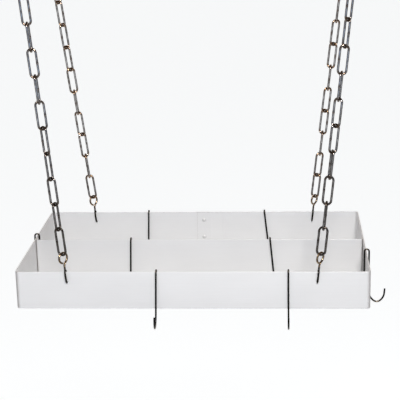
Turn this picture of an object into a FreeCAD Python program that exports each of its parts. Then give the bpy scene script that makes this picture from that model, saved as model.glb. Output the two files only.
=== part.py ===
import FreeCAD
import Part
import math
import os

os.makedirs("parts", exist_ok=True)

# Hanging pot rack: a flat strip bent into a long rectangle, with one bar across
# the middle, hung level on four chains from four screw hooks in the ceiling.
# Eight loose pot hooks ride on the top edges of the strips.
#
# Millimetres. +X is the rack's length, +Y runs from front to back, +Z is up.
# The origin is on the ceiling's face, in the middle of the four screw hooks.

# rack
rack_length = 610.0            # outside, along X
rack_width = 361.0             # outside, along Y
strip_height = 67.0
strip_thickness = 2.0
corner_radius = 8.0            # outside of the bent corners
edge_rounding = 0.4
middle_bar_offset = 0.0        # from the rack's centre line
middle_bar_bend = 5.0          # outside of its end bends
flange_length = 16.0           # from the middle bar's front face to the flange's end
flange_clearance = 0.1
lap_overlap = 26.0             # how far the strip's two ends overlap
lap_centre = 1.0
joggle_length = 24.0
lap_clearance = 0.1

# rivets
rivet_radius = 2.0
rivet_hole_clearance = 0.05
rivet_head_radius = 4.0
rivet_head_height = 1.6
rivet_edge_distance = 16.0     # from the strip's top or bottom edge
flange_rivet_setback = 6.0     # from the flange's free end

# holes that the lower eyes of the S-hooks pass through
hole_spacing = 428.8           # along X, from hole to hole
hole_radius = 2.5
hole_depth = 19.45             # below the strip's top edge

# chains
link_wire = 4.0
link_length = 52.0
link_inside = 2.5              # inside width of a link, in wire thicknesses
links_in_chain = 11            # below the top link
chain_lean_out = 6.3           # degrees, wider apart along X at the ceiling
chain_lean_in = 4.4            # degrees, closer together along Y at the ceiling
contact_gap = 0.3

# S-hooks
s_hook_wire = 3.5
s_hook_length = 49.5           # from the link's bottom to the lower bend, wire centres
s_hook_eye_radius = 9.25       # wire centre, upper eye
s_hook_eye_turn = 54.0         # degrees, the eye's face from the rack's front
s_hook_bend_radius = 6.0       # wire centre, lower bend
s_hook_neck_drop = 20.0        # from the link's bottom to the narrow of the neck
s_hook_shoulder_radius = 12.0
s_hook_eye_gap = 16.0          # degrees left open at the upper eye's end
s_hook_end_share = 0.9         # how much of its last bend the lower eye's end makes
hole_top_gap = 0.5

# ceiling hooks
hook_wire = 5.0
hook_bowl_radius = 11.0        # wire centre
hook_drop = 42.0               # from the ceiling to the bottom of the bowl, wire centre
hook_neck_rise = 18.0          # from the bowl's centre to the straight shank
hook_mouth_angle = 205.0       # degrees round the bowl, where the wire ends
collar_radius = 6.5
collar_thickness = 2.5
screw_radius = 2.5
screw_length = 26.0
screw_point_length = 6.0
screw_tip_radius = 0.3

# pot hooks
pot_wire = 3.2
pot_arch_radius = 4.2          # wire centre
pot_leg_length = 40.0          # the leg behind the strip, below the arch
pot_seat_gap = 0.3
pot_drop = 30.0                # from the strip's bottom edge to the hook's lowest point
pot_bowl_radius = 9.0          # wire centre, at the bottom of the bowl
pot_bowl_sweep = 38.0          # degrees, to each side of its lowest point
pot_shank_bend = 24.0          # radius, from the bowl up to the shank
pot_tip_bend = 20.0            # radius, from the bowl up to the tip
pot_tip_rise = 85.0            # degrees, the tip's slope
pot_tip_length = 9.0

# where each pot hook hangs: the bar, its place along it from the rack's centre,
# and how far it leans along the bar, in degrees
pot_hooks = {
    "front_left": ("front", -60.0, -1.8),
    "front_right": ("front", 165.5, 0.0),
    "middle_left": ("middle", -124.0, -2.1),
    "middle_right": ("middle", 133.5, 5.5),
    "back_left": ("back", -109.0, -1.9),
    "back_right": ("back", 121.0, 6.4),
    "side_left": ("left", 27.0, 0.0),
    "side_right": ("right", -69.0, 0.0),
}

# the chain at each corner: side (-1 left, 1 right), end (-1 front, 1 back), its lowest
# link's turn from the rack's front, and its slow twist, both in degrees, between two
# of its links counted from the bottom
chains = {
    "front_left": (-1, -1, -19.5, -70.5, 4, 7),
    "front_right": (1, -1, -10.0, 150.0, 3, 10),
    "rear_left": (-1, 1, -10.0, 155.0, 1, 7),
    "rear_right": (1, 1, -31.5, -270.0, 1, 10),
}

cut_excess = 1.0               # how far a cutting tool runs past what it cuts
same_place = 0.01

x_axis = FreeCAD.Vector(1, 0, 0)
y_axis = FreeCAD.Vector(0, 1, 0)
z_axis = FreeCAD.Vector(0, 0, 1)
origin = FreeCAD.Vector(0, 0, 0)

link_width = (link_inside + 2) * link_wire     # outside

# distances along a chain, from wire centre to wire centre
link_pitch = link_length - 2 * link_wire - contact_gap
top_pitch = link_length - 1.5 * link_wire - hook_wire / 2 - contact_gap
chain_length = links_in_chain * link_pitch

# A chain's line runs from the lowest link's wire to the ceiling hook's, with one lean
# out along X and one in along Y. The S-hook below it leans along X only.
lean_out = math.radians(chain_lean_out)
lean_in = math.radians(chain_lean_in)
chain_rise = 1 / math.sqrt(1 + math.tan(lean_out) ** 2 + math.tan(lean_in) ** 2)
chain_height = (top_pitch + chain_length) * chain_rise
s_hook_rise = s_hook_length * math.cos(lean_out)

# heights
bowl_z = -hook_drop
joint_z = bowl_z - chain_height        # where the lowest link meets the S-hook
s_bend_z = joint_z - s_hook_rise
hole_z = s_bend_z - (hole_radius - s_hook_wire / 2 - hole_top_gap)
rack_top = hole_z + hole_depth
rack_bottom = rack_top - strip_height

# places in plan
bar_y = rack_width / 2 - strip_thickness / 2
side_x = rack_length / 2 - strip_thickness / 2
hole_x = hole_spacing / 2
joint_x = hole_x + s_hook_length * math.sin(lean_out)
screw_x = joint_x + chain_height * math.tan(lean_out)
screw_y = bar_y - chain_height * math.tan(lean_in)


def export(shape, name):
    shape.exportStep("parts/" + name + ".step")


def in_plane(reach, height, turn):
    """A point at a reach and height in an upright plane turned about Z."""
    angle = math.radians(turn)
    return FreeCAD.Vector(reach * math.cos(angle), reach * math.sin(angle), height)


def arc_edge(centre_reach, centre_height, radius, start, end, turn):
    """A round stretch in an upright plane, from one angle to another."""
    points = []
    for share in (0.0, 0.5, 1.0):
        angle = math.radians(start + (end - start) * share)
        reach = centre_reach + radius * math.cos(angle)
        height = centre_height + radius * math.sin(angle)
        points.append(in_plane(reach, height, turn))
    return Part.Arc(*points).toShape()


def line_edge(reach_a, height_a, reach_b, height_b, turn):
    start = in_plane(reach_a, height_a, turn)
    end = in_plane(reach_b, height_b, turn)
    return Part.LineSegment(start, end).toShape()


def bent_wire(edges, diameter):
    """Round wire along a path whose stretches meet smoothly."""
    path = Part.Wire(edges)
    first = edges[0]
    start = first.valueAt(first.FirstParameter)
    direction = first.tangentAt(first.FirstParameter)
    section = Part.Wire(Part.makeCircle(diameter / 2, start, direction))
    return path.makePipeShell([section], True, False)


def one_solid(shape):
    """The single solid inside a result, with leftover seams removed."""
    return shape.removeSplitter().Solids[0]


def plate(x0, x1, y0, y1, z0, z1):
    corner = FreeCAD.Vector(x0, y0, z0)
    return Part.makeBox(x1 - x0, y1 - y0, z1 - z0, corner)


def rod(radius, centre, axis, length):
    """A plain cylinder, centred on a point."""
    return Part.makeCylinder(radius, length, centre - axis * (length / 2), axis)


# --- rack ---------------------------------------------------------------

def rounded_block(length, width, radius):
    block = plate(-length / 2, length / 2, -width / 2, width / 2, rack_bottom, rack_top)
    upright = []
    for edge in block.Edges:
        run = edge.Vertexes[1].Point - edge.Vertexes[0].Point
        if abs(run.z) > strip_height / 2:
            upright.append(edge)
    return block.makeFillet(radius, upright)


def round_rims(strip):
    """Ease the top and bottom edges of an upright strip."""
    rims = [edge for edge in strip.Edges if edge.BoundBox.ZLength < edge_rounding]
    return strip.makeFillet(edge_rounding, rims)


def rivet_heights():
    return (rack_top - rivet_edge_distance, rack_bottom + rivet_edge_distance)


lap_inner_end = lap_centre - lap_overlap / 2      # the end that shows inside
lap_outer_end = lap_centre + lap_overlap / 2      # the end that shows outside


def lap_tail():
    """The end of the strip that steps forward and runs in front of the other."""
    step = strip_thickness + lap_clearance
    outside = rack_width / 2
    joggle_end = lap_outer_end + lap_clearance
    joggle_start = joggle_end + joggle_length
    corners = [
        (joggle_start, outside),
        (joggle_end, outside - step),
        (lap_inner_end, outside - step),
        (lap_inner_end, outside - step - strip_thickness),
        (joggle_end, outside - step - strip_thickness),
        (joggle_start, outside - strip_thickness),
    ]
    points = [FreeCAD.Vector(x, y, rack_bottom) for x, y in corners]
    face = Part.Face(Part.makePolygon(points + points[:1]))
    return face.extrude(z_axis * strip_height)


def perimeter_strip():
    outer = rounded_block(rack_length, rack_width, corner_radius)
    inner_radius = corner_radius - strip_thickness
    inner_length = rack_length - 2 * strip_thickness
    inner_width = rack_width - 2 * strip_thickness
    strip = outer.cut(rounded_block(inner_length, inner_width, inner_radius))
    strip = round_rims(strip)
    gap_end = lap_outer_end + lap_clearance + joggle_length
    # the tail, stepping forward, takes the place of the cut-out stretch
    gap = plate(lap_outer_end, gap_end, 0, rack_width, rack_bottom, rack_top)
    strip = strip.cut(gap).fuse(lap_tail())
    for side in (-1, 1):
        for bar in (-1, 1):
            centre = FreeCAD.Vector(side * hole_x, bar * bar_y, hole_z)
            strip = strip.cut(rod(hole_radius, centre, y_axis, strip_thickness + cut_excess))
    for rivet in seam_rivet_places() + flange_rivet_places():
        strip = strip.cut(rivet_hole(*rivet))
    return one_solid(strip)


def middle_bar():
    """The bar across the middle, its ends bent back into flanges."""
    front = middle_bar_offset - strip_thickness / 2
    back = front + flange_length
    inside = side_x - strip_thickness / 2 - flange_clearance
    outer = plate(-inside, inside, front, back, rack_bottom, rack_top)
    inner = plate(-inside + strip_thickness, inside - strip_thickness,
                  front + strip_thickness, back + cut_excess, rack_bottom, rack_top)

    def round_front(block, reach, face, radius):
        bends = []
        for edge in block.Edges:
            middle = edge.CenterOfMass
            upright = edge.BoundBox.ZLength > strip_height / 2
            on_face = abs(middle.y - face) < same_place
            if upright and on_face and abs(abs(middle.x) - reach) < same_place:
                bends.append(edge)
        return block.makeFillet(radius, bends)

    outer = round_front(outer, inside, front, middle_bar_bend)
    inner = round_front(inner, inside - strip_thickness, front + strip_thickness,
                        middle_bar_bend - strip_thickness)
    bar = round_rims(outer.cut(inner))
    for rivet in flange_rivet_places():
        bar = bar.cut(rivet_hole(*rivet))
    return one_solid(bar)


def seam_rivet_places():
    """Each rivet: the middle of its grip, its axis and the length it grips."""
    grip = 2 * strip_thickness + lap_clearance
    y = rack_width / 2 - grip / 2
    return [(FreeCAD.Vector(lap_centre, y, z), y_axis, grip) for z in rivet_heights()]


def flange_rivet_places():
    grip = 2 * strip_thickness + flange_clearance
    y = middle_bar_offset - strip_thickness / 2 + flange_length - flange_rivet_setback
    places = []
    for side in (-1, 1):
        x = side * (rack_length / 2 - grip / 2)
        for z in rivet_heights():
            places.append((FreeCAD.Vector(x, y, z), x_axis, grip))
    return places


def rivet_hole(centre, axis, grip):
    return rod(rivet_radius + rivet_hole_clearance, centre, axis, grip + cut_excess)


def rivet(centre, axis, grip):
    """A round-headed rivet, the same at both ends, turned about its axis."""
    half = grip / 2
    end = half + rivet_head_height
    # the dome passes through the head's rim and its top
    dome_radius = (rivet_head_radius ** 2 + rivet_head_height ** 2) / (2 * rivet_head_height)
    bulge = rivet_head_radius / 2
    bulge_end = end - dome_radius + math.sqrt(dome_radius ** 2 - bulge ** 2)

    def at(radius, height):
        return FreeCAD.Vector(radius, 0, height)

    edges = [
        Part.Arc(at(0, end), at(bulge, bulge_end), at(rivet_head_radius, half)).toShape(),
        Part.LineSegment(at(rivet_head_radius, half), at(rivet_radius, half)).toShape(),
        Part.LineSegment(at(rivet_radius, half), at(rivet_radius, -half)).toShape(),
        Part.LineSegment(at(rivet_radius, -half), at(rivet_head_radius, -half)).toShape(),
        Part.Arc(at(rivet_head_radius, -half), at(bulge, -bulge_end), at(0, -end)).toShape(),
        Part.LineSegment(at(0, -end), at(0, end)).toShape(),
    ]
    body = Part.Face(Part.Wire(edges)).revolve(origin, z_axis, 360)
    turn = FreeCAD.Rotation(z_axis, axis)
    body.Placement = FreeCAD.Placement(centre, turn)
    return body


def rivets(places):
    return Part.makeCompound([rivet(*place) for place in places])


# --- chains -------------------------------------------------------------

def link_shape(height, turn):
    """One link, its middle at a height on the chain's line."""
    radius = (link_width - link_wire) / 2
    half = link_length / 2 - link_wire / 2 - radius
    edges = [
        line_edge(radius, height - half, radius, height + half, turn),
        arc_edge(0, height + half, radius, 0, 180, turn),
        line_edge(-radius, height + half, -radius, height - half, turn),
        arc_edge(0, height - half, radius, 180, 360, turn),
    ]
    return bent_wire(edges, link_wire)


def link_turn(number, lowest_turn, twist, first, last):
    """Links stand square to each other, and the chain twists slowly between two."""
    share = (number - first) / (last - first)
    share = min(max(share, 0.0), 1.0)
    return 90.0 * (number - 1) + lowest_turn + twist * share


def top_turn(lowest_turn, twist):
    """How far the top link and the ceiling hook turn to stay square to the chain."""
    whole = (90.0 * links_in_chain + lowest_turn + twist) % 180.0
    return whole if whole < 90.0 else whole - 180.0


def hung_at(shape, direction, side, end):
    """From an upright line with its joint at the origin, to its corner and lean."""
    place = FreeCAD.Vector(side * joint_x, end * bar_y, joint_z)
    turn = FreeCAD.Rotation(z_axis, direction)
    shape.Placement = FreeCAD.Placement(place, turn)
    return shape


def chain_direction(side, end):
    return FreeCAD.Vector(side * math.tan(lean_out), -end * math.tan(lean_in), 1)


def s_hook_direction(side):
    return FreeCAD.Vector(side * math.tan(lean_out), 0, 1)


def chain(lowest_turn, twist, first, last):
    links = []
    for number in range(1, links_in_chain + 1):
        height = (number - 1) * link_pitch + link_length / 2 - link_wire / 2
        turn = link_turn(number, lowest_turn, twist, first, last)
        links.append(link_shape(height, turn))
    return Part.makeCompound(links)


def top_link(turn):
    return link_shape(chain_length + link_length / 2 - link_wire / 2, turn)


def s_hook():
    """A round eye closed on the last link, and a long eye closed through the strip."""
    apex = link_wire / 2 + contact_gap + s_hook_wire / 2
    eye = apex - s_hook_eye_radius
    neck = -s_hook_neck_drop
    bend = -s_hook_length + s_hook_bend_radius
    shoulder = s_hook_shoulder_radius
    sweep = math.acos(1 - s_hook_bend_radius / (2 * shoulder))
    knee = neck - 2 * shoulder * math.sin(sweep)
    sweep = math.degrees(sweep)
    rise = eye - neck
    neck_radius = (rise ** 2 - s_hook_eye_radius ** 2) / (2 * s_hook_eye_radius)
    lean_out = math.degrees(math.atan2(rise, neck_radius))
    strand = s_hook_bend_radius
    turn = s_hook_eye_turn
    edges = [
        arc_edge(strand - shoulder, knee, shoulder, sweep * s_hook_end_share, 0, 90),
        line_edge(strand, knee, strand, bend, 90),
        arc_edge(0, bend, strand, 0, -180, 90),
        line_edge(-strand, bend, -strand, knee, 90),
        arc_edge(shoulder - strand, knee, shoulder, 180, 180 - sweep, 90),
        arc_edge(-shoulder, neck, shoulder, -sweep, 0, 90),
        arc_edge(neck_radius, neck, neck_radius, 180, 180 - lean_out, turn),
        arc_edge(0, eye, s_hook_eye_radius, -lean_out, 90, turn),
        arc_edge(0, eye, s_hook_eye_radius, 90, 270 - s_hook_eye_gap, turn),
    ]
    return bent_wire(edges, s_hook_wire)


# --- ceiling hooks ------------------------------------------------------

def ceiling_hook(side, end, link_turn_here):
    """A screw with a collar that meets the ceiling and a round bowl below it."""
    bowl = bowl_z + hook_bowl_radius
    neck = bowl + hook_neck_rise
    neck_radius = (hook_neck_rise ** 2 - hook_bowl_radius ** 2) / (2 * hook_bowl_radius)
    lean_out = math.degrees(math.atan2(hook_neck_rise, neck_radius))
    edges = [
        line_edge(0, -collar_thickness / 2, 0, neck, 90),
        arc_edge(neck_radius, neck, neck_radius, 180, 180 + lean_out, 90),
        arc_edge(0, bowl, hook_bowl_radius, lean_out, -90, 90),
        arc_edge(0, bowl, hook_bowl_radius, -90, -hook_mouth_angle, 90),
    ]
    wire = bent_wire(edges, hook_wire)
    collar = Part.makeCylinder(collar_radius, collar_thickness,
                               FreeCAD.Vector(0, 0, -collar_thickness))
    rim = [edge for edge in collar.Edges
           if edge.BoundBox.ZLength < same_place and edge.CenterOfMass.z < -collar_thickness / 2]
    collar = collar.makeFillet(collar_thickness / 2, rim)
    screw = Part.makeCylinder(screw_radius, screw_length, origin)
    point = Part.makeCone(screw_radius, screw_tip_radius, screw_point_length, z_axis * screw_length)
    body = one_solid(wire.fuse([collar, screw, point]))
    place = FreeCAD.Vector(side * screw_x, end * screw_y, 0)
    # each bowl opens away from the rack's middle, square to its link
    turn = FreeCAD.Rotation(z_axis, link_turn_here + (0 if end > 0 else 180))
    body.Placement = FreeCAD.Placement(place, turn)
    return body


# --- pot hooks ----------------------------------------------------------

def pot_hook():
    """In its own plane: X across the bar, shank and bowl on the -X side."""
    leg = strip_thickness / 2 + pot_seat_gap + pot_wire / 2
    arch = leg - pot_arch_radius
    shank = arch - pot_arch_radius
    # the arch's inside rests on the strip's top corner beside the leg
    inside = pot_arch_radius - pot_wire / 2
    arch_z = pot_seat_gap - math.sqrt(inside ** 2 - (arch - strip_thickness / 2) ** 2)
    sweep = math.radians(pot_bowl_sweep)
    slope = math.radians(pot_tip_rise)
    lowest = -strip_height - pot_drop + pot_wire / 2
    # the bowl's three bends meet smoothly at its sweep, to each side of the bottom
    shank_centre_z = lowest + pot_bowl_radius + (pot_shank_bend - pot_bowl_radius) * math.cos(sweep)
    shank_centre = shank - pot_shank_bend
    bowl = shank_centre + (pot_shank_bend - pot_bowl_radius) * math.sin(sweep)
    bowl_z = lowest + pot_bowl_radius
    tip_centre = bowl + (pot_tip_bend - pot_bowl_radius) * math.sin(sweep)
    tip_centre_z = bowl_z + (pot_tip_bend - pot_bowl_radius) * math.cos(sweep)
    tip = tip_centre - pot_tip_bend * math.sin(slope)
    tip_z = tip_centre_z - pot_tip_bend * math.cos(slope)
    end = tip - pot_tip_length * math.cos(slope)
    end_z = tip_z + pot_tip_length * math.sin(slope)
    edges = [
        line_edge(leg, arch_z - pot_leg_length, leg, arch_z, 0),
        arc_edge(arch, arch_z, pot_arch_radius, 0, 180, 0),
        line_edge(shank, arch_z, shank, shank_centre_z, 0),
        arc_edge(shank_centre, shank_centre_z, pot_shank_bend, 0, pot_bowl_sweep - 90, 0),
        arc_edge(bowl, bowl_z, pot_bowl_radius, pot_bowl_sweep - 90, -90 - pot_bowl_sweep, 0),
        arc_edge(tip_centre, tip_centre_z, pot_tip_bend, -90 - pot_bowl_sweep, -90 - pot_tip_rise, 0),
        line_edge(tip, tip_z, end, end_z, 0),
    ]
    return bent_wire(edges, pot_wire)


def hung_on_bar(bar, along, tilt):
    """Turn a hook to face its bar and set it at its place on the top edge."""
    faces = {
        "front": (90, along, -bar_y),
        "middle": (90, along, middle_bar_offset),
        "back": (90, along, bar_y),
        "left": (0, -side_x, along),
        "right": (180, side_x, along),
    }
    facing, x, y = faces[bar]
    hook = pot_hook()
    # the lean turns about the seat on the strip's top edge
    turn = FreeCAD.Rotation(z_axis, facing).multiply(FreeCAD.Rotation(x_axis, -tilt))
    hook.Placement = FreeCAD.Placement(FreeCAD.Vector(x, y, rack_top), turn)
    return hook


# --- the rack's pieces --------------------------------------------------

export(perimeter_strip(), "perimeter_strip")
export(middle_bar(), "middle_bar")
export(rivets(seam_rivet_places()), "seam_rivets")
export(rivets(flange_rivet_places()), "middle_bar_rivets")

for corner, (side, end, lowest_turn, twist, first, last) in chains.items():
    along_chain = chain_direction(side, end)
    links = chain(lowest_turn, twist, first, last)
    turn_at_top = top_turn(lowest_turn, twist)
    export(hung_at(links, along_chain, side, end), "chain_" + corner)
    export(hung_at(top_link(turn_at_top), along_chain, side, end), "top_link_" + corner)
    export(hung_at(s_hook(), s_hook_direction(side), side, end), "s_hook_" + corner)
    export(ceiling_hook(side, end, turn_at_top), "ceiling_hook_" + corner)

for place, (bar, along, tilt) in pot_hooks.items():
    export(hung_on_bar(bar, along, tilt), "pot_hook_" + place)

print("rack top", round(rack_top, 3), "bottom", round(rack_bottom, 3))
print("screw spacing", round(2 * screw_x, 3), round(2 * screw_y, 3))
print("joint", round(joint_x, 3), round(joint_z, 3), "hole", round(hole_z, 3))
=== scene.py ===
import bpy
import math
from mathutils import Matrix, Vector


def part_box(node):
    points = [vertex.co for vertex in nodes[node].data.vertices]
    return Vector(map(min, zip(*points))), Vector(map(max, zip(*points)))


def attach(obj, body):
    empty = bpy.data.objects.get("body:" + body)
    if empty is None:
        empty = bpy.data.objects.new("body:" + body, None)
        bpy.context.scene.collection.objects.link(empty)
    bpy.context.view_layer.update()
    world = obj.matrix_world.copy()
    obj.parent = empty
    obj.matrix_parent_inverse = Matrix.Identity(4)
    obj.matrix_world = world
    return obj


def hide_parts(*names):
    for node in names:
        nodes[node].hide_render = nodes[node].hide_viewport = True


# A hanging pot rack: satin strip-metal frame, four link chains, eight wire pot hooks.
# Metres. +X is the rack's length, +Y runs from front to back, +Z is up.

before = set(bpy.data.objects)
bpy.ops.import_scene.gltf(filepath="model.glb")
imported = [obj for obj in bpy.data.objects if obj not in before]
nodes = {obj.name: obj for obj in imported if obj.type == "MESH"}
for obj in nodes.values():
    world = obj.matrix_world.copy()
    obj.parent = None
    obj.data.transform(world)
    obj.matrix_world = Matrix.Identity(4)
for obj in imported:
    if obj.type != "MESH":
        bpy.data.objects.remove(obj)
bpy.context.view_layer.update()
print("frame loaded,", len(nodes), "nodes")

corners = ("front_left", "front_right", "rear_left", "rear_right")
millimetre = 0.001
samePoint = 1e-7                            # closer points than this are one

bpy.context.scene.view_settings.view_transform = "Standard"

cameraSetup = {
    "lens": 109.7,                          # millimetres
    "sensor": 36.0,
    "reach": 200.0,
    "place": (0.1520, -2.1402, 0.0963),
    "yaw": -3.909,                          # degrees, negative looks to the left
    "pitch": 15.914,                        # degrees down
    "roll": -1.329,
}


def setCamera(setup):
    yaw = math.radians(setup["yaw"])
    pitch = math.radians(setup["pitch"])
    roll = math.radians(setup["roll"])
    ahead = Vector((math.sin(yaw) * math.cos(pitch), math.cos(yaw) * math.cos(pitch), -math.sin(pitch)))
    level = Vector((math.cos(yaw), -math.sin(yaw), 0))
    upright = level.cross(ahead)
    right = level * math.cos(roll) + upright * math.sin(roll)
    top = upright * math.cos(roll) - level * math.sin(roll)
    data = bpy.data.cameras.new("rackCamera")
    data.lens = setup["lens"]
    data.sensor_width = setup["sensor"]
    data.clip_end = setup["reach"]
    camera = bpy.data.objects.new("rackCamera", data)
    bpy.context.scene.collection.objects.link(camera)
    turn = Matrix((right, top, -ahead)).transposed().to_4x4()
    camera.matrix_world = Matrix.Translation(setup["place"]) @ turn
    bpy.context.scene.camera = camera


setCamera(cameraSetup)
print("camera set")


def startMaterial(name):
    material = bpy.data.materials.new(name)
    material.use_nodes = True
    tree = material.node_tree
    return material, tree, tree.nodes["Principled BSDF"]


def addNode(tree, kind, settings=None, inputs=None):
    node = tree.nodes.new(kind)
    for key, value in (settings or {}).items():
        setattr(node, key, value)
    for key, value in (inputs or {}).items():
        if isinstance(value, bpy.types.NodeSocket):
            tree.links.new(value, node.inputs[key])
        else:
            node.inputs[key].default_value = value
    return node


def grainNoise(tree, stretch, scale, detail=4.0, roughness=0.5):
    place = addNode(tree, "ShaderNodeTexCoord")
    mapping = addNode(tree, "ShaderNodeMapping", None, {
        "Vector": place.outputs["Object"],
        "Scale": stretch,
    })
    noise = addNode(tree, "ShaderNodeTexNoise", None, {
        "Vector": mapping.outputs["Vector"],
        "Scale": scale,
        "Detail": detail,
        "Roughness": roughness,
    })
    return noise.outputs["Fac"]


def spread(tree, value, fromLow, fromHigh, toLow, toHigh):
    node = addNode(tree, "ShaderNodeMapRange", {"clamp": True}, {
        "Value": value,
        "From Min": fromLow,
        "From Max": fromHigh,
        "To Min": toLow,
        "To Max": toHigh,
    })
    return node.outputs["Result"]


def combine(tree, operation, first, second):
    return addNode(tree, "ShaderNodeMath", {"operation": operation}, {0: first, 1: second}).outputs[0]


def blendColours(tree, share, first, second):
    node = addNode(tree, "ShaderNodeMix", {"data_type": "RGBA"}, {"Factor": share})
    for key, value in ((6, first), (7, second)):
        if isinstance(value, bpy.types.NodeSocket):
            tree.links.new(value, node.inputs[key])
        else:
            node.inputs[key].default_value = (*value, 1)
    return node.outputs[2]


def edgeMask(tree, radius):                 # 1 on an edge, 0 on a flat face
    bevel = addNode(tree, "ShaderNodeBevel", {"samples": 6}, {"Radius": radius})
    geometry = addNode(tree, "ShaderNodeNewGeometry")
    likeness = addNode(tree, "ShaderNodeVectorMath", {"operation": "DOT_PRODUCT"}, {
        0: bevel.outputs["Normal"],
        1: geometry.outputs["Normal"],
    })
    return spread(tree, likeness.outputs["Value"], 0.995, 0.86, 0.0, 1.0)


def attribute(tree, name):
    return addNode(tree, "ShaderNodeAttribute", {"attribute_name": name}).outputs["Fac"]


def addBump(tree, height, distance, strength, under=None):
    inputs = {"Height": height, "Distance": distance, "Strength": strength}
    if under is not None:
        inputs["Normal"] = under
    return addNode(tree, "ShaderNodeBump", None, inputs).outputs["Normal"]


stripFinish = {
    "steel": (0.72, 0.72, 0.725),
    "steelDull": (0.68, 0.68, 0.685),
    "edge": (0.88, 0.90, 0.92),
    "grime": (0.42, 0.40, 0.38),       # painted shade in the corners where pieces meet
    "metallic": 0.40,
    "roughness": (0.40, 0.54),
    "shadeReach": 2.2 * millimetre,
    "wearWidth": 0.7 * millimetre,
    "wearTint": 0.7,
    "wearPolish": 0.08,
    "swayHeight": 4.0 * millimetre,    # the sheet is a little uneven
    "swayStrength": 0.25,
    "streakHeight": 0.06 * millimetre,
    "streakStrength": 0.5,
}


def satinStrip(finish):
    material, tree, shader = startMaterial("satinStrip")
    streaks = grainNoise(tree, (1.5, 1.5, 320.0), 6.0, 5.0, 0.6)
    clouds = grainNoise(tree, (1.0, 1.0, 1.6), 9.0, 3.0)
    smears = grainNoise(tree, (1.0, 1.0, 3.0), 34.0, 5.0, 0.65)
    wear = edgeMask(tree, finish["wearWidth"])
    streakTone = combine(tree, "MULTIPLY", streaks, 0.45)
    cloudTone = combine(tree, "MULTIPLY", clouds, 0.55)
    tone = spread(tree, combine(tree, "ADD", streakTone, cloudTone), 0.36, 0.64, 0.0, 1.0)
    colour = blendColours(tree, tone, finish["steelDull"], finish["steel"])
    worn = combine(tree, "MULTIPLY", wear, finish["wearTint"])
    colour = blendColours(tree, worn, colour, finish["edge"])
    # painted shade: the colour darkens where ambient occlusion finds another surface close by
    nook = addNode(tree, "ShaderNodeAmbientOcclusion", {"samples": 8}, {"Distance": finish["shadeReach"]})
    paintedShade = spread(tree, nook.outputs["AO"], 0.45, 0.85, 0.75, 0.0)
    colour = blendColours(tree, paintedShade, colour, finish["grime"])
    tree.links.new(colour, shader.inputs["Base Color"])
    low, high = finish["roughness"]
    smearing = combine(tree, "ADD", smears, combine(tree, "MULTIPLY", streaks, 0.5))
    rough = spread(tree, smearing, 0.5, 1.0, low, high)
    rough = combine(tree, "SUBTRACT", rough, combine(tree, "MULTIPLY", wear, finish["wearPolish"]))
    tree.links.new(rough, shader.inputs["Roughness"])
    unevenness = grainNoise(tree, (1.0, 1.0, 1.0), 11.0, 1.0)
    sway = addBump(tree, unevenness, finish["swayHeight"], finish["swayStrength"])
    lines = addBump(tree, streaks, finish["streakHeight"], finish["streakStrength"], sway)
    tree.links.new(lines, shader.inputs["Normal"])
    shader.inputs["Metallic"].default_value = finish["metallic"]
    return material


rivetFinish = {
    "steel": (0.60, 0.60, 0.605),
    "grime": (0.50, 0.495, 0.49),
    "metallic": 0.40,
    "roughness": (0.50, 0.62),
    "wearWidth": 0.5 * millimetre,
    "wearTint": 0.6,
    "speckHeight": 0.08 * millimetre,
    "speckStrength": 0.4,
}


def rivetSteel(finish):
    material, tree, shader = startMaterial("rivetSteel")
    specks = grainNoise(tree, (1.0, 1.0, 1.0), 900.0, 3.0)
    wear = edgeMask(tree, finish["wearWidth"])
    clean = spread(tree, specks, 0.35, 0.6, 0.0, 1.0)
    colour = blendColours(tree, clean, finish["grime"], finish["steel"])
    worn = combine(tree, "MULTIPLY", wear, finish["wearTint"])
    colour = blendColours(tree, worn, colour, finish["steel"])
    tree.links.new(colour, shader.inputs["Base Color"])
    low, high = finish["roughness"]
    tree.links.new(spread(tree, specks, 0.3, 0.7, high, low), shader.inputs["Roughness"])
    grain = addBump(tree, specks, finish["speckHeight"], finish["speckStrength"])
    tree.links.new(grain, shader.inputs["Normal"])
    shader.inputs["Metallic"].default_value = finish["metallic"]
    return material


chainFinish = {
    "bright": (0.52, 0.52, 0.53),
    "dull": (0.20, 0.19, 0.18),
    # painted shade and dark reflection on the bends where the links interlock
    "bend": (0.075, 0.048, 0.030),
    "bendGolden": (0.27, 0.155, 0.070),  # the same painted shade in golden brown, mostly on the rear chains
    "weld": (0.14, 0.10, 0.075),
    "lowDarkening": (0.055, 0.047, 0.042),    # darker on the lowest links of the front chains
    "roughness": (0.08, 0.24),
    "weldTint": 0.8,
    "speckHeight": 0.05 * millimetre,
    "speckStrength": 0.35,
}


def chainSteel(finish):
    material, tree, shader = startMaterial("chainSteel")
    blotches = grainNoise(tree, (1.0, 1.0, 1.0), 160.0, 4.0, 0.6)
    specks = grainNoise(tree, (1.0, 1.0, 1.0), 1400.0, 3.0)
    bend = attribute(tree, "bend")
    weld = attribute(tree, "weld")
    shine = spread(tree, blotches, 0.38, 0.62, 0.0, 1.0)
    colour = blendColours(tree, shine, finish["dull"], finish["bright"])
    # painted shade and dark reflection on the link ends, where the links interlock
    interlockShade = combine(tree, "MULTIPLY", bend, spread(tree, blotches, 0.3, 0.6, 1.0, 0.7))
    interlockShadeColour = blendColours(tree, attribute(tree, "golden"), finish["bend"], finish["bendGolden"])
    colour = blendColours(tree, interlockShade, colour, interlockShadeColour)
    heated = combine(tree, "MULTIPLY", weld, finish["weldTint"])
    colour = blendColours(tree, heated, colour, finish["weld"])
    colour = blendColours(tree, attribute(tree, "lowDarkening"), colour, finish["lowDarkening"])
    tree.links.new(colour, shader.inputs["Base Color"])
    low, high = finish["roughness"]
    tree.links.new(spread(tree, blotches, 0.35, 0.65, high, low), shader.inputs["Roughness"])
    grain = addBump(tree, specks, finish["speckHeight"], finish["speckStrength"])
    tree.links.new(grain, shader.inputs["Normal"])
    shader.inputs["Metallic"].default_value = 1.0
    return material


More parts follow.
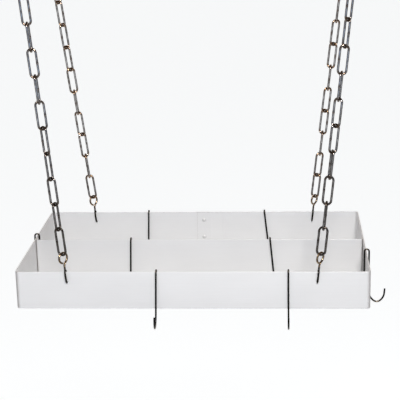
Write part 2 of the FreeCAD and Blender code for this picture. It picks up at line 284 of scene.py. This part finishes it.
sHookFinish = {
    "bright": (0.34, 0.25, 0.16),
    "dull": (0.13, 0.088, 0.055),
    "shaded": (0.030, 0.027, 0.025),    # the strands below the eye
    "roughness": (0.12, 0.28),
    "speckHeight": 0.05 * millimetre,
    "speckStrength": 0.35,
}


def sHookSteel(finish):
    material, tree, shader = startMaterial("sHookSteel")
    blotches = grainNoise(tree, (1.0, 1.0, 1.0), 210.0, 4.0, 0.6)
    specks = grainNoise(tree, (1.0, 1.0, 1.0), 1500.0, 3.0)
    shine = spread(tree, blotches, 0.36, 0.64, 0.0, 1.0)
    colour = blendColours(tree, shine, finish["dull"], finish["bright"])
    colour = blendColours(tree, attribute(tree, "strand"), colour, finish["shaded"])
    tree.links.new(colour, shader.inputs["Base Color"])
    low, high = finish["roughness"]
    tree.links.new(spread(tree, blotches, 0.35, 0.65, high, low), shader.inputs["Roughness"])
    grain = addBump(tree, specks, finish["speckHeight"], finish["speckStrength"])
    tree.links.new(grain, shader.inputs["Normal"])
    shader.inputs["Metallic"].default_value = 1.0
    return material


potWireFinish = {
    "dark": (0.010, 0.010, 0.011),
    "light": (0.028, 0.027, 0.027),
    "worn": (0.30, 0.25, 0.19),         # on the arch and in the bowl
    "roughness": (0.16, 0.32),
    "speckHeight": 0.04 * millimetre,
    "speckStrength": 0.3,
}


def potWireSteel(finish):
    material, tree, shader = startMaterial("potWireSteel")
    blotches = grainNoise(tree, (1.0, 1.0, 0.35), 190.0, 4.0, 0.6)
    specks = grainNoise(tree, (1.0, 1.0, 1.0), 1600.0, 3.0)
    rub = attribute(tree, "rub")
    shine = spread(tree, blotches, 0.36, 0.66, 0.0, 1.0)
    colour = blendColours(tree, shine, finish["dark"], finish["light"])
    worn = combine(tree, "MULTIPLY", rub, spread(tree, specks, 0.42, 0.56, 0.25, 1.0))
    colour = blendColours(tree, worn, colour, finish["worn"])
    tree.links.new(colour, shader.inputs["Base Color"])
    low, high = finish["roughness"]
    tree.links.new(spread(tree, blotches, 0.35, 0.65, low, high), shader.inputs["Roughness"])
    grain = addBump(tree, specks, finish["speckHeight"], finish["speckStrength"])
    tree.links.new(grain, shader.inputs["Normal"])
    shader.inputs["Metallic"].default_value = 1.0
    return material


stripMaterial = satinStrip(stripFinish)
rivetMaterial = rivetSteel(rivetFinish)
chainMaterial = chainSteel(chainFinish)
sHookMaterial = sHookSteel(sHookFinish)
potWireMaterial = potWireSteel(potWireFinish)
print("finishes made")


def arcPoints(centreReach, centreHeight, radius, start, end, turn, count):
    found = []
    spin = math.radians(turn)
    for step in range(count + 1):
        angle = math.radians(start + (end - start) * step / count)
        reach = centreReach + radius * math.cos(angle)
        height = centreHeight + radius * math.sin(angle)
        found.append(Vector((reach * math.cos(spin), reach * math.sin(spin), height)))
    return found


def linePoints(reachA, heightA, reachB, heightB, turn, count):
    found = []
    spin = math.radians(turn)
    for step in range(count + 1):
        share = step / count
        reach = reachA + (reachB - reachA) * share
        height = heightA + (heightB - heightA) * share
        found.append(Vector((reach * math.cos(spin), reach * math.sin(spin), height)))
    return found


def joinPoints(*stretches):
    path = []
    for stretch in stretches:
        for point in stretch:
            if not path or (point - path[-1]).length > samePoint:
                path.append(point)
    return path


def ringFrames(path, closed):
    count = len(path)
    tangents = []
    for i in range(count):
        if closed:
            ahead, behind = path[(i + 1) % count], path[i - 1]
        else:
            ahead, behind = path[min(i + 1, count - 1)], path[max(i - 1, 0)]
        tangents.append((ahead - behind).normalized())
    frames = []
    normal = tangents[0].orthogonal().normalized()
    for tangent in tangents:
        normal = (normal - tangent * normal.dot(tangent)).normalized()
        frames.append((tangent, normal, tangent.cross(normal)))
    return frames


capShares = (0.35, 0.75, 0.94)              # a cut end's rings, as shares of the wire's radius


def sweepWire(path, radius, sides, closed, swell=None, capDepth=0.35):
    frames = ringFrames(path, closed)
    verts, faces, rows = [], [], []

    def ring(centre, normal, side, size, row):
        for k in range(sides):
            angle = 2 * math.pi * k / sides
            verts.append(centre + (normal * math.cos(angle) + side * math.sin(angle)) * size)
            rows.append(row)

    last = len(path) - 1
    if not closed:
        tangent, normal, side = frames[0]
        for share in capShares:
            back = capDepth * radius * (1 - math.sqrt(1 - share * share))
            ring(path[0] + tangent * back, normal, side, radius * share, 0)
    for i, centre in enumerate(path):
        tangent, normal, side = frames[i]
        size = radius * (1 + (swell[i] if swell else 0))
        if not closed and i == 0:
            centre = centre + tangent * (capDepth * radius)
        if not closed and i == last:
            centre = centre - tangent * (capDepth * radius)
        ring(centre, normal, side, size, i)
    if not closed:
        tangent, normal, side = frames[last]
        for share in reversed(capShares):
            back = capDepth * radius * (1 - math.sqrt(1 - share * share))
            ring(path[last] - tangent * back, normal, side, radius * share, last)
    rings = len(verts) // sides
    spans = rings if closed else rings - 1
    for i in range(spans):
        a = i * sides
        b = ((i + 1) % rings) * sides
        for k in range(sides):
            n = (k + 1) % sides
            faces.append((a + k, a + n, b + n, b + k))
    if not closed:
        verts.append(path[0].copy())
        rows.append(0)
        verts.append(path[last].copy())
        rows.append(last)
        head, tail = len(verts) - 2, len(verts) - 1
        end = (rings - 1) * sides
        for k in range(sides):
            n = (k + 1) % sides
            faces.append((head, n, k))
            faces.append((tail, end + k, end + n))
    return verts, faces, rows


def makePiece(name, parts, material):
    verts, faces = [], []
    marks = {}
    for part in parts:
        base = len(verts)
        verts.extend(part["verts"])
        faces.extend(tuple(base + i for i in face) for face in part["faces"])
        for key, values in part["marks"].items():
            marks.setdefault(key, []).extend(values)
    mesh = bpy.data.meshes.new(name)
    mesh.from_pydata([tuple(v) for v in verts], [], faces)
    mesh.validate()
    for key, values in marks.items():
        layer = mesh.attributes.new(key, "FLOAT", "POINT")
        layer.data.foreach_set("value", values)
    mesh.shade_smooth()
    mesh.materials.append(material)
    piece = bpy.data.objects.new(name, mesh)
    bpy.context.scene.collection.objects.link(piece)
    return piece


def middleOf(points):
    low = Vector([min(p[i] for p in points) for i in range(3)])
    high = Vector([max(p[i] for p in points) for i in range(3)])
    return (low + high) / 2


def placeFor(node, points):
    low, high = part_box(node)
    return Matrix.Translation((low + high) / 2 - middleOf(points))


chainLink = {
    "wire": 4.0 * millimetre,
    "length": 52.0 * millimetre,
    "width": 18.0 * millimetre,
    "pitch": 43.7 * millimetre,
    "linksBelowTop": 11,
    "leanOut": 6.3,              # degrees, wider apart along X at the ceiling
    "leanIn": 4.4,               # degrees, closer together along Y at the ceiling
    "weldSwell": 0.09,           # of the wire's radius
    "weldReach": 1.3 * millimetre,
    "sides": 16,
    "weldSideSteps": 44,
    "plainSideSteps": 8,
    "bendSteps": 22,
    "bendStart": 0.86,           # of the half height of the straight side
    "bendFade": 0.8,             # of the bend's radius
}

chainTints = {
    "frontGolden": 0.1,
    "rearGolden": 0.7,
    "lowestDarkening": 0.85,       # of the front chains
    "darkeningFade": 0.15,         # less on each link above
}

# side, end, the lowest link's turn, the whole twist, and the two links it builds up between
chainHang = {
    "front_left": (-1, -1, -19.5, -70.5, 4, 7),
    "front_right": (1, -1, -10.0, 150.0, 3, 10),
    "rear_left": (-1, 1, -10.0, 155.0, 1, 7),
    "rear_right": (1, 1, -31.5, -270.0, 1, 10),
}


def linkPart(link, height, turn, lowDarkening, golden):
    radius = (link["width"] - link["wire"]) / 2
    half = link["length"] / 2 - link["wire"] / 2 - radius
    weldSteps, plainSteps, bendSteps = link["weldSideSteps"], link["plainSideSteps"], link["bendSteps"]
    path = joinPoints(
        linePoints(radius, height - half, radius, height + half, turn, weldSteps),
        arcPoints(0, height + half, radius, 0, 180, turn, bendSteps),
        linePoints(-radius, height + half, -radius, height - half, turn, plainSteps),
        arcPoints(0, height - half, radius, 180, 360, turn, bendSteps)[:-1],
    )
    swell, bend, weld = [], [], []
    for i, point in enumerate(path):
        rise = abs(point.z - height)
        onWeldSide = i <= weldSteps
        bead = math.exp(-(rise / link["weldReach"]) ** 4) if onWeldSide else 0.0
        swell.append(link["weldSwell"] * bead)
        weld.append(math.exp(-(rise / (3 * link["weldReach"])) ** 2) if onWeldSide else 0.0)
        # the bend mask places the painted shade on the link ends
        bendRise = (rise - half * link["bendStart"]) / (radius * link["bendFade"])
        share = min(max(bendRise, 0.0), 1.0)
        bend.append(share * share * (3 - 2 * share))
    verts, faces, rows = sweepWire(path, link["wire"] / 2, link["sides"], True, swell)
    marks = {
        "bend": [bend[r] for r in rows],
        "weld": [weld[r] for r in rows],
        "lowDarkening": [lowDarkening] * len(rows),
        "golden": [golden] * len(rows),
    }
    return {"path": path, "verts": verts, "faces": faces, "marks": marks}


def moveParts(parts, matrix):
    for part in parts:
        part["path"] = [matrix @ p for p in part["path"]]
        part["verts"] = [matrix @ v for v in part["verts"]]


def allPath(parts):
    return [p for part in parts for p in part["path"]]


def leanOf(side, end):
    out = math.tan(math.radians(chainLink["leanOut"])) * side
    inward = math.tan(math.radians(chainLink["leanIn"])) * -end
    return Vector((0, 0, 1)).rotation_difference(Vector((out, inward, 1))).to_matrix().to_4x4()


def finishWirePiece(name, parts, turn, node, body, material):
    moveParts(parts, turn)
    moveParts(parts, placeFor(node, allPath(parts)))
    piece = makePiece(name, parts, material)
    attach(piece, body)
    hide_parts(node)


def pieceName(start, corner):
    return start + "".join(word.capitalize() for word in corner.split("_"))


def topTurn(corner):                   # a quarter turn on from the link below it
    lowestTurn, twist = chainHang[corner][2:4]
    whole = (90.0 * chainLink["linksBelowTop"] + lowestTurn + twist) % 180.0
    return whole if whole < 90.0 else whole - 180.0


for corner in corners:
    side, end, lowestTurn, twist, first, last = chainHang[corner]
    lean = leanOf(side, end)
    golden = chainTints["rearGolden"] if end > 0 else chainTints["frontGolden"]
    links = []
    for number in range(1, chainLink["linksBelowTop"] + 1):
        share = min(max((number - first) / (last - first), 0.0), 1.0)
        turn = 90.0 * (number - 1) + lowestTurn + twist * share
        height = (number - 1) * chainLink["pitch"]
        weldSide = 180.0 if number % 4 < 2 else 0.0
        lowDarkening = max(chainTints["lowestDarkening"] - chainTints["darkeningFade"] * (number - 1), 0.0)
        if end > 0:
            lowDarkening = 0.0
        links.append(linkPart(chainLink, height, turn + weldSide, lowDarkening, golden))
    finishWirePiece(pieceName("chain", corner), links, lean, "chain_" + corner,
                    "chain_" + corner, chainMaterial)
    topLink = linkPart(chainLink, 0, topTurn(corner), 0.0, golden)
    finishWirePiece(pieceName("topLink", corner), [topLink], lean, "top_link_" + corner,
                    "top_link_" + corner, chainMaterial)
print("chains made")

sHook = {
    "wire": 3.5 * millimetre,
    "length": 49.5 * millimetre,
    "eyeRadius": 9.25 * millimetre,
    "eyeTurn": 54.0,
    "bendRadius": 6.0 * millimetre,
    "neckDrop": 20.0 * millimetre,
    "shoulder": 12.0 * millimetre,
    "endShare": 0.9,             # how much of the shoulder's bend the free end has
    "eyeGap": 16.0,
    "linkRoom": 2.3 * millimetre,
    "sides": 16,
    "shoulderSteps": 8,
    "strandSteps": 6,
    "bendSteps": 22,
    "neckSteps": 8,
    "eyeSteps": (18, 20),
    "shadeStart": 0.3,           # how dark the wire is at the neck
}


def sHookPath(hook):
    eye = hook["linkRoom"] + hook["wire"] / 2 - hook["eyeRadius"]
    neck = -hook["neckDrop"]
    strand = hook["bendRadius"]
    shoulder = hook["shoulder"]
    bend = strand - hook["length"]
    sweep = math.acos(1 - strand / (2 * shoulder))
    knee = neck - 2 * shoulder * math.sin(sweep)
    sweep = math.degrees(sweep)
    rise = eye - neck
    neckRadius = (rise ** 2 - hook["eyeRadius"] ** 2) / (2 * hook["eyeRadius"])
    leanOut = math.degrees(math.atan2(rise, neckRadius))
    turn = hook["eyeTurn"]
    shoulderSteps, strandSteps = hook["shoulderSteps"], hook["strandSteps"]
    upSteps, downSteps = hook["eyeSteps"]
    return joinPoints(
        arcPoints(strand - shoulder, knee, shoulder, sweep * hook["endShare"], 0, 90, shoulderSteps),
        linePoints(strand, knee, strand, bend, 90, strandSteps),
        arcPoints(0, bend, strand, 0, -180, 90, hook["bendSteps"]),
        linePoints(-strand, bend, -strand, knee, 90, strandSteps),
        arcPoints(shoulder - strand, knee, shoulder, 180, 180 - sweep, 90, shoulderSteps),
        arcPoints(-shoulder, neck, shoulder, -sweep, 0, 90, shoulderSteps),
        arcPoints(neckRadius, neck, neckRadius, 180, 180 - leanOut, turn, hook["neckSteps"]),
        arcPoints(0, eye, hook["eyeRadius"], -leanOut, 90, turn, upSteps),
        arcPoints(0, eye, hook["eyeRadius"], 90, 270 - hook["eyeGap"], turn, downSteps),
    )


def sHookPart(hook):
    path = sHookPath(hook)
    verts, faces, rows = sweepWire(path, hook["wire"] / 2, hook["sides"], False)
    neck = -hook["neckDrop"]
    strand = []
    for point in path:
        shade = (neck - point.z) / hook["bendRadius"] + hook["shadeStart"]
        strand.append(min(max(shade, 0.0), 1.0))
    marks = {"strand": [strand[r] for r in rows]}
    return {"path": path, "verts": verts, "faces": faces, "marks": marks}


for corner in corners:
    side = chainHang[corner][0]
    finishWirePiece(pieceName("sHook", corner), [sHookPart(sHook)], leanOf(side, 0),
                    "s_hook_" + corner, "s_hook_" + corner, sHookMaterial)
print("S-hooks made")

potHook = {
    "wire": 3.2 * millimetre,
    "archRadius": 4.2 * millimetre,
    "archHeight": -0.91 * millimetre,   # the arch's centre, from the bar's top
    "leg": 40.0 * millimetre,
    "legReach": 2.9 * millimetre,       # from the bar's middle
    "drop": 97.0 * millimetre,          # from the bar's top to the hook's lowest point
    "bowlRadius": 9.0 * millimetre,
    "bowlSweep": 38.0,                  # degrees to each side of the lowest point
    "shankBend": 24.0 * millimetre,
    "tipBend": 20.0 * millimetre,
    "tipRise": 85.0,                    # degrees
    "tip": 9.0 * millimetre,
    "sides": 16,
    "steps": (16, 22, 30, 18, 16, 14, 6),   # leg, arch, shank, its bend, bowl, the tip's bend, tip
    "archRub": 0.5,
    "bowlRub": 0.8,
}

potHookPlaces = {                       # which way the hook faces and how far it leans, in degrees
    "front_left": (90, -1.8),
    "front_right": (90, 0.0),
    "middle_left": (90, -2.1),
    "middle_right": (90, 5.5),
    "back_left": (90, -1.9),
    "back_right": (90, 6.4),
    "side_left": (0, 0.0),
    "side_right": (180, 0.0),
}


def potHookPath(hook):
    archHeight = hook["archHeight"]
    leg = hook["legReach"]
    arch = leg - hook["archRadius"]
    shank = arch - hook["archRadius"]
    sweep = hook["bowlSweep"]
    rise = hook["tipRise"]
    across, along = math.sin(math.radians(sweep)), math.cos(math.radians(sweep))
    slopeAcross, slopeAlong = math.sin(math.radians(rise)), math.cos(math.radians(rise))
    bowlHeight = -hook["drop"] + hook["wire"] / 2 + hook["bowlRadius"]
    shankSpare = hook["shankBend"] - hook["bowlRadius"]
    tipSpare = hook["tipBend"] - hook["bowlRadius"]
    shankCentre = shank - hook["shankBend"]
    bowl = shankCentre + shankSpare * across
    shankHeight = bowlHeight + shankSpare * along
    tipCentre = bowl + tipSpare * across
    tipHeight = bowlHeight + tipSpare * along
    tip = tipCentre - hook["tipBend"] * slopeAcross
    tipStart = tipHeight - hook["tipBend"] * slopeAlong
    end = tip - hook["tip"] * slopeAlong
    endHeight = tipStart + hook["tip"] * slopeAcross
    legSteps, archSteps, shankSteps, bendSteps, bowlSteps, tipBendSteps, tipSteps = hook["steps"]
    return joinPoints(
        linePoints(leg, archHeight - hook["leg"], leg, archHeight, 0, legSteps),
        arcPoints(arch, archHeight, hook["archRadius"], 0, 180, 0, archSteps),
        linePoints(shank, archHeight, shank, shankHeight, 0, shankSteps),
        arcPoints(shankCentre, shankHeight, hook["shankBend"], 0, sweep - 90, 0, bendSteps),
        arcPoints(bowl, bowlHeight, hook["bowlRadius"], sweep - 90, -90 - sweep, 0, bowlSteps),
        arcPoints(tipCentre, tipHeight, hook["tipBend"], -90 - sweep, -90 - rise, 0, tipBendSteps),
        linePoints(tip, tipStart, end, endHeight, 0, tipSteps),
    )


def potHookPart(hook):
    path = potHookPath(hook)
    verts, faces, rows = sweepWire(path, hook["wire"] / 2, hook["sides"], False)
    lowest = -hook["drop"]
    rub = []
    for point in path:
        arching = min(max((point.z - hook["archHeight"]) / hook["archRadius"], 0.0), 1.0)
        bowl = min(max(1 - (point.z - lowest) / hook["bowlRadius"], 0.0), 1.0)
        rub.append(max(hook["archRub"] * arching, hook["bowlRub"] * bowl))
    marks = {"rub": [rub[r] for r in rows]}
    return {"path": path, "verts": verts, "faces": faces, "marks": marks}


for place, (facing, tilt) in potHookPlaces.items():
    turn = Matrix.Rotation(math.radians(facing), 4, "Z") @ Matrix.Rotation(math.radians(-tilt), 4, "X")
    finishWirePiece(pieceName("potHook", place), [potHookPart(potHook)], turn,
                    "pot_hook_" + place, "pot_hook_" + place, potWireMaterial)
print("pot hooks made")

for node, material in (("perimeter_strip", stripMaterial), ("middle_bar", stripMaterial),
                       ("seam_rivets", rivetMaterial), ("middle_bar_rivets", rivetMaterial)):
    nodes[node].data.materials.clear()
    nodes[node].data.materials.append(material)
for corner in corners:
    nodes["ceiling_hook_" + corner].data.materials.clear()
    nodes["ceiling_hook_" + corner].data.materials.append(chainMaterial)

# the colours are the surroundings' light on each side of the rack
studio = {
    "floorHeight": -2.4,
    "floorReach": 60.0,
    "floorColour": (0.86, 0.86, 0.87, 1),
    "floorGlow": 0.71,
    "floorTint": (0.90, 0.965, 1.0, 1),
    "front": (0.44, 0.56, 0.74, 1),
    "side": (0.36, 0.24, 0.155, 1),
    "back": (0.92, 0.90, 0.88, 1),
    "top": (0.22, 0.17, 0.13, 1),
    "matt": 0.9,
    "frontEnd": 0.12,                       # shares of the way from front to back
    "sideBand": (0.35, 0.65),
    "backStart": 0.9,
    "topStart": 0.25,                       # how high the top's colour begins and is full
    "topFull": 0.8,
}


def studioWorld(setup):
    world = bpy.data.worlds.new("studioWorld")
    world.use_nodes = True
    tree = world.node_tree
    place = addNode(tree, "ShaderNodeTexCoord")
    parts = addNode(tree, "ShaderNodeSeparateXYZ", None, {0: place.outputs["Generated"]})
    ramp = addNode(tree, "ShaderNodeValToRGB", None, {"Fac": spread(tree, parts.outputs["Y"], -1, 1, 0, 1)})
    ramp.color_ramp.elements[0].position = setup["frontEnd"]
    ramp.color_ramp.elements[0].color = setup["front"]
    ramp.color_ramp.elements[1].position = setup["backStart"]
    ramp.color_ramp.elements[1].color = setup["back"]
    for position in setup["sideBand"]:
        element = ramp.color_ramp.elements.new(position)
        element.color = setup["side"]
    height = spread(tree, parts.outputs["Z"], setup["topStart"], setup["topFull"], 0, 1)
    colour = blendColours(tree, height, ramp.outputs["Color"], setup["top"][:3])
    tree.links.new(colour, tree.nodes["Background"].inputs["Color"])
    bpy.context.scene.world = world


def studioFloor(setup):
    reach = setup["floorReach"]
    height = setup["floorHeight"]
    mesh = bpy.data.meshes.new("studioFloor")
    mesh.from_pydata([(-reach, -reach, height), (reach, -reach, height),
                      (reach, reach, height), (-reach, reach, height)], [], [(0, 1, 2, 3)])
    material, tree, shader = startMaterial("paleFloor")
    shader.inputs["Base Color"].default_value = setup["floorColour"]
    shader.inputs["Roughness"].default_value = setup["matt"]
    shader.inputs["Emission Color"].default_value = setup["floorTint"]
    shader.inputs["Emission Strength"].default_value = setup["floorGlow"]
    mesh.materials.append(material)
    floor = bpy.data.objects.new("studioFloor", mesh)
    bpy.context.scene.collection.objects.link(floor)


# dark panels that shade the rack's ends and underside and that the camera doesn't see:
# each one's middle, and its half sizes along X, Y and Z
darkFlags = {
    "leftFlag": ((-0.95, 0.05, -0.70), (0.0, 0.75, 0.62)),
    "rightFlag": ((0.95, 0.05, -0.70), (0.0, 0.75, 0.62)),
    "lowerFlag": ((0.0, -1.0, -1.25), (0.95, 0.45, 0.0)),
}
flagColour = (0.10, 0.07, 0.05, 1)


def studioFlag(name, middle, reach):
    x, y, z = reach
    if x == 0:
        signs = ((0, -1, -1), (0, 1, -1), (0, 1, 1), (0, -1, 1))
    else:
        signs = ((-1, -1, 0), (1, -1, 0), (1, 1, 0), (-1, 1, 0))
    mesh = bpy.data.meshes.new(name)
    mesh.from_pydata([(a * x, b * y, c * z) for a, b, c in signs], [], [(0, 1, 2, 3)])
    material, tree, shader = startMaterial(name)
    shader.inputs["Base Color"].default_value = flagColour
    shader.inputs["Roughness"].default_value = studio["matt"]
    mesh.materials.append(material)
    flag = bpy.data.objects.new(name, mesh)
    bpy.context.scene.collection.objects.link(flag)
    flag.location = middle
    flag.visible_camera = False


softLights = {                          # place, aim, width, height, power, colour
    "keyPanel": ((0.35, -2.3, 1.05), (0, 0, -0.6), 0.6, 0.6, 88.0, (1.0, 0.985, 0.965)),
}


def softLight(name, place, aim, width, height, power, colour):
    data = bpy.data.lights.new(name, "AREA")
    data.shape = "RECTANGLE"
    data.size = width
    data.size_y = height
    data.energy = power
    data.color = colour
    light = bpy.data.objects.new(name, data)
    bpy.context.scene.collection.objects.link(light)
    light.location = place
    light.rotation_euler = (Vector(aim) - Vector(place)).to_track_quat("-Z", "Y").to_euler()


studioWorld(studio)
studioFloor(studio)
for name, values in darkFlags.items():
    studioFlag(name, *values)
for name, values in softLights.items():
    softLight(name, *values)
print("studio lit")
